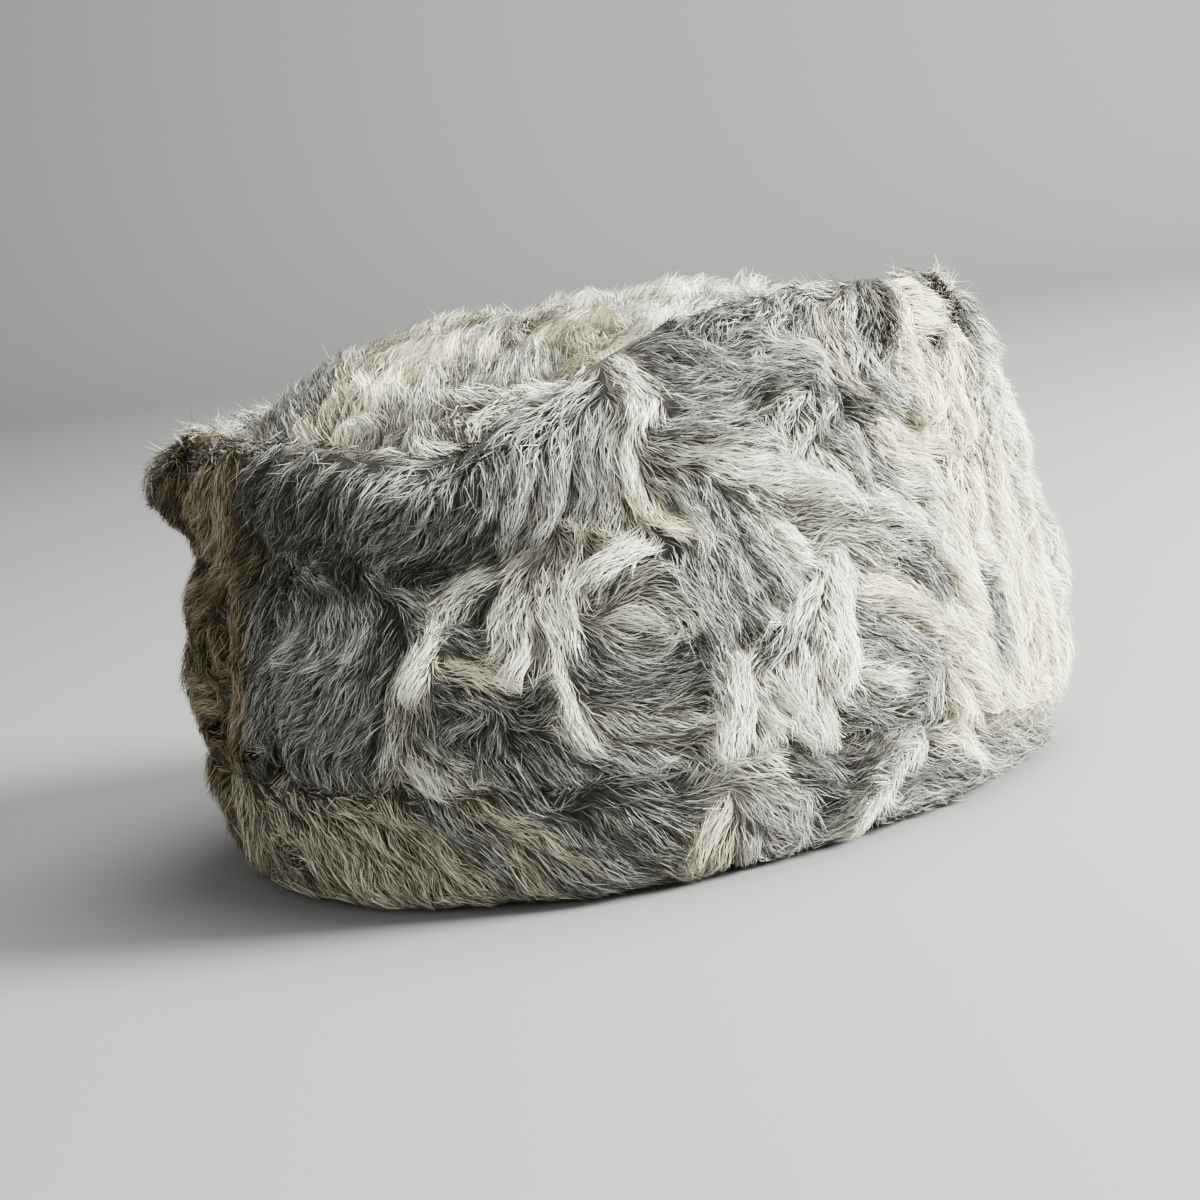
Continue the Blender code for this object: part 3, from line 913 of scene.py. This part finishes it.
def growStrands(cover, skin, roots, seamNear, random):
    # the points of every strand, followed along the skin and lifted off it, with its kind, its
    # width and how light it is at each point, as painted shade deepest at its root and in crevices
    values = covers[cover]
    count = len(roots)
    at = nodesAt(skin, roots)
    onCrest = skin["onCrest"][at]
    under = random.random(count) < strand["undercoat"]
    stray = random.random(count) < strand["strays"] + strand["crestStrays"] * onCrest
    shaded = np.where(random.random(count) < strand["shaded"], strand["shadedLight"], 1)
    lengths = values["length"] * random.uniform(*strand["lengthRange"], count)
    lengths *= np.where(under, strand["underLength"], 1)
    fullness = random.uniform(*strand["fullRange"], count) * np.where(under, strand["underFull"], 1)
    gather = random.uniform(*strand["gatherRange"], count) * np.where(under, strand["underGather"], 1)
    drift = random.normal(0, strand["drift"], count) * np.where(stray, strand["strayDrift"], 1)
    bend = random.normal(0, strand["bend"], count)
    strayLift = random.uniform(*strand["strayLift"], count)
    lift = np.where(stray, strayLift, random.uniform(*strand["liftRange"], count))
    lift *= 1 + strand["crestLift"] * onCrest
    scatter = random.normal(0, 1, (count, 3))
    scatter *= np.where(stray, strand["strayScatter"], strand["scatter"])[:, None]
    shares = strand["rows"]
    points = np.empty((count, len(shares), 3))
    points[:, 0] = roots
    skinPoint = roots.copy()
    rootNormals = skin["normals"][at]
    # a strand has the kind of the place that its middle lies over
    middle = nodesAt(skin, roots + skin["way"][at] * (lengths * 0.5)[:, None])
    kinds = skin["kinds"][middle, random.integers(4, size=count)]
    strayKind = list(lockKinds).index(strand["strayKind"])
    kinds = np.where(stray & (random.random(count) < 0.5), strayKind, kinds)
    lightness = np.array([light for _, light, _, _ in lockKinds.values()])[kinds]
    # painted shade: how light each point of a strand shows, lowest at its root, where light kinds keep more
    base = np.clip((lightness - strand["paleFrom"]) * strand["paleGain"], 0, strand["palest"])
    bright = np.empty((count, len(shares)))
    bright[:, 0] = base * skin["open"][at]
    for step in range(1, len(shares)):
        share = shares[step]
        normal = skin["normals"][at]
        way = skin["way"][at]
        pull = skin["aside"][at] / lengths[:, None] * gather[:, None]
        sway = sum(np.sin(skinPoint @ np.array(wave)) for wave in strand["swayWaves"])
        turn = (drift + bend * (share - shares[1]) + strand["swayAngle"] * sway)[:, None]
        ahead = unit(way + pull + np.cross(normal, way) * turn)
        skinPoint = skinPoint + ahead * (lengths * (share - shares[step - 1]))[:, None]
        at = nodesAt(skin, skinPoint)
        normal = skin["normals"][at]
        above = ((skinPoint - skin["nodes"][at]) * normal).sum(axis=1, keepdims=True)
        skinPoint = skinPoint - normal * above
        height = skin["height"][at] * fullness + fur["seamFill"] * seamNear * (1 - skin["onCrest"][at])
        rise = height * (1 - (1 - share) ** strand["riseCurve"]) * (1 - strand["droop"] * share ** 3)
        rise += lift * share ** 2
        points[:, step] = skinPoint + normal * rise[:, None] + scatter * share ** strand["taperCurve"]
        # painted shade: less light in crevices between locks and in charted hollows, and on strands in the
        # shade of others
        light = strand["shade"] + (1 - strand["shade"]) * skin["open"][at]
        bright[:, step] = (base + (1 - base) * share) * light * shaded
    points[:, :, 2] = np.maximum(points[:, :, 2], fur["lowest"])
    widths = strand["width"] * random.uniform(*strand["widthRange"], count)
    widths *= np.where(stray, strand["strayWidth"], 1)
    return points, rootNormals, kinds, widths, np.clip(bright, 0, 1)


def seamShare(roots, others):
    # 1 beside another pelt, 0 away from it
    nearest = np.array([min(tree.find_nearest(root)[3] for tree in others) for root in roots])
    return np.exp(-(nearest / fur["seamReach"]) ** 2)


def hollowShare(places, hollows):
    # 1 in the middle of a charted hollow, 0 outside
    share = np.zeros(len(places))
    for place, radius in hollows:
        reach = np.linalg.norm(places - place, axis=1)
        share = np.maximum(share, np.clip(lockForm["hollowEdge"] - reach / radius, 0, 1))
    return share


def ribbonMesh(name, points, rootNormals, kinds, widths, bright, random):
    # each strand a narrow ribbon of a few hairs that ends in a point; across the OFBake map it
    # covers some stripes of its kind, and up the map it runs from dark to light with its painted shade
    count, rows = points.shape[:2]
    segments = rows - 1
    ahead = unit(np.gradient(points, axis=1))
    along = np.array(strand["rows"])
    facing = unit(rootNormals + random.normal(0, strand["facing"], (count, 3)))[:, None, :]
    aside = unit(np.cross(ahead, facing))
    half = 0.5 * widths[:, None] * (1 - strand["rootTaper"] * (1 - along) ** 3)
    half = half * (1 - strand["tipTaper"] * along ** strand["taperCurve"])
    left = points - aside * half[:, :, None]
    right = points + aside * half[:, :, None]
    perStrand = 2 * segments + 1
    vertices = np.empty((count, perStrand, 3))
    vertices[:, 0:2 * segments:2] = left[:, :-1]
    vertices[:, 1:2 * segments:2] = right[:, :-1]
    vertices[:, -1] = points[:, -1]
    quads = [(2 * at, 2 * at + 1, 2 * at + 3, 2 * at + 2) for at in range(segments - 1)]
    tip = (2 * segments - 2, 2 * segments - 1, 2 * segments)
    pattern = np.array([corner for quad in quads for corner in quad] + list(tip))
    sizes = np.array([4] * (segments - 1) + [3])
    loops = (np.arange(count)[:, None] * perStrand + pattern[None, :]).ravel()
    totals = np.tile(sizes, count)
    starts = np.concatenate([[0], np.cumsum(totals)[:-1]])
    mesh = bpy.data.meshes.new(name)
    mesh.vertices.add(count * perStrand)
    mesh.vertices.foreach_set("co", vertices.ravel())
    mesh.loops.add(len(loops))
    mesh.loops.foreach_set("vertex_index", loops)
    mesh.polygons.add(len(totals))
    mesh.polygons.foreach_set("loop_start", starts)
    stripe = 1 / (len(lockKinds) * strand["stripes"])
    span = strand["hairs"] * stripe * widths / strand["width"]
    room = 1 / len(lockKinds) - span - 2 * stripe
    middle = kinds / len(lockKinds) + stripe + span / 2 + room * random.random(count)
    slant = stripe * random.uniform(-0.5, 0.5, count)
    side = np.array([-0.5, 0.5] * segments + [0.0])
    uvs = np.empty((count, perStrand, 2))
    uvs[:, :, 0] = middle[:, None] + span[:, None] * side + slant[:, None] * np.repeat(along, 2)[:-1]
    uvs[:, :, 1] = 0.02 + 0.96 * np.repeat(bright, 2, axis=1)[:, :-1]
    layer = mesh.uv_layers.new(name="OFBake")
    layer.data.foreach_set("uv", uvs[:, pattern].ravel())
    mesh.update(calc_edges=True)
    mesh.shade_smooth()
    strands = bpy.data.objects.new(name, mesh)
    bpy.context.scene.collection.objects.link(strands)
    return strands


# hair colours from dark to light, for each warmth
hairShades = [
    [(0.020, 0.020, 0.019), (0.087, 0.086, 0.081), (0.34, 0.34, 0.31), (0.92, 0.93, 0.85)],
    [(0.021, 0.020, 0.019), (0.090, 0.089, 0.081), (0.36, 0.365, 0.315), (0.94, 0.95, 0.82)],
    [(0.023, 0.021, 0.017), (0.098, 0.093, 0.073), (0.39, 0.385, 0.29), (0.95, 0.94, 0.74)],
    [(0.026, 0.021, 0.014), (0.120, 0.099, 0.063), (0.42, 0.36, 0.23), (0.88, 0.81, 0.61)],
]


# what a strand's light is multiplied by, from its root to its tip: the hair's darker roots and painted
# shade, which also falls in crevices and on strands under others
rootAndShadeStops = [
    (0.0, (0.16, 0.155, 0.15)), (0.25, (0.42, 0.41, 0.40)),
    (0.55, (0.88, 0.87, 0.86)), (0.8, (1.0, 1.0, 1.0)),
]


def hairShade(tone, warmth):
    # a colour between the dark and the light of a warmth
    place = min(max(tone, 0), 1) * 3
    low = min(int(place), 2)
    dark, light = hairShades[warmth][low], hairShades[warmth][low + 1]
    return tuple(a + (b - a) * (place - low) for a, b in zip(dark, light))


def furFinish(name):
    # hairs as stripes across the map, dark ones among light ones, darker towards the root as darker roots
    # and painted shade, and with painted shade in crevices
    finish = Finish(name, {"Roughness": 0.55, "Specular IOR Level": 0.30})
    place = finish.add("ShaderNodeUVMap", {"uv_map": "OFBake"})
    across = finish.add("ShaderNodeSeparateXYZ", {}, {0: place})
    # up the map: the painted shade that a hair carries, low at its root and in crevices
    along = across.beside(1)
    counted = across * float(len(lockKinds) * strand["stripes"])
    stripe = finish.add("ShaderNodeMath", {"operation": "FLOOR"}, {0: counted})
    chance = finish.add("ShaderNodeTexWhiteNoise", {"noise_dimensions": "1D"}, {"W": stripe})
    colour = None
    for number, (dark, light, warmth, _) in enumerate(lockKinds.values()):
        stops = [
            (0.0, hairShade(0.06, warmth)), (max(dark - 0.03, 0.01), hairShade(0.30, warmth)),
            (dark + 0.03, hairShade(light - 0.18, warmth)), (1.0, hairShade(light + 0.08, warmth)),
        ]
        shade = finish.add("ShaderNodeValToRGB", {"stops": stops}, {0: chance})
        if colour is None:
            colour = shade
        else:
            edge = number / len(lockKinds)
            here = finish.add("ShaderNodeMath", {"operation": "GREATER_THAN"}, {0: across, 1: edge})
            colour = finish.mix(here, colour, shade)
    # painted shade, with the hair's darker roots, multiplied into the hair's colour
    rootAndCreviceShade = finish.add("ShaderNodeValToRGB", {"stops": rootAndShadeStops}, {0: along})
    finish.feed("Base Color", finish.mix(1.0, colour, rootAndCreviceShade, "MULTIPLY"))
    return finish.material


def makeFur():
    random = np.random.default_rng(fur["seed"])
    surfaces = {name: skinSurface(peltPieces[values["pelt"]]) for name, values in covers.items()}
    charted = chartedSpines(surfaces)
    hollows = castSpots(surfaces, hollowChart)
    flats = castSpots(surfaces, flatChart)
    print("chart cast:", {name: len(spines) for name, spines in charted.items()})
    for name, values in covers.items():
        places, corners, _ = surfaces[name]
        spines = charted[name] + fillSpines(name, surfaces[name], charted[name], random)
        skin = combSkin(name, surfaces[name], spines, len(charted[name]), hollows, flats, random)
        roots, _ = scatterRoots(places, corners, values["strands"], random)
        seamNear = seamShare(roots, [surfaces[other][2] for other in covers if other != name])
        grown = growStrands(name, skin, roots, seamNear, random)
        finish = furFinish(name + "Hair")
        around = np.arctan2(roots[:, 0], roots[:, 1])
        order = np.argsort(around)
        for number, part in enumerate(np.array_split(order, values["pieces"])):
            label = name if values["pieces"] == 1 else name + str(number + 1)
            strands = ribbonMesh(label, *(array[part] for array in grown), random)
            strands.data.materials.append(finish)
            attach(strands, "root")
            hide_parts(pelts[values["pelt"]]["node"])
        print(name, "combed:", len(spines), "locks,", len(roots), "strands")


makeFur()
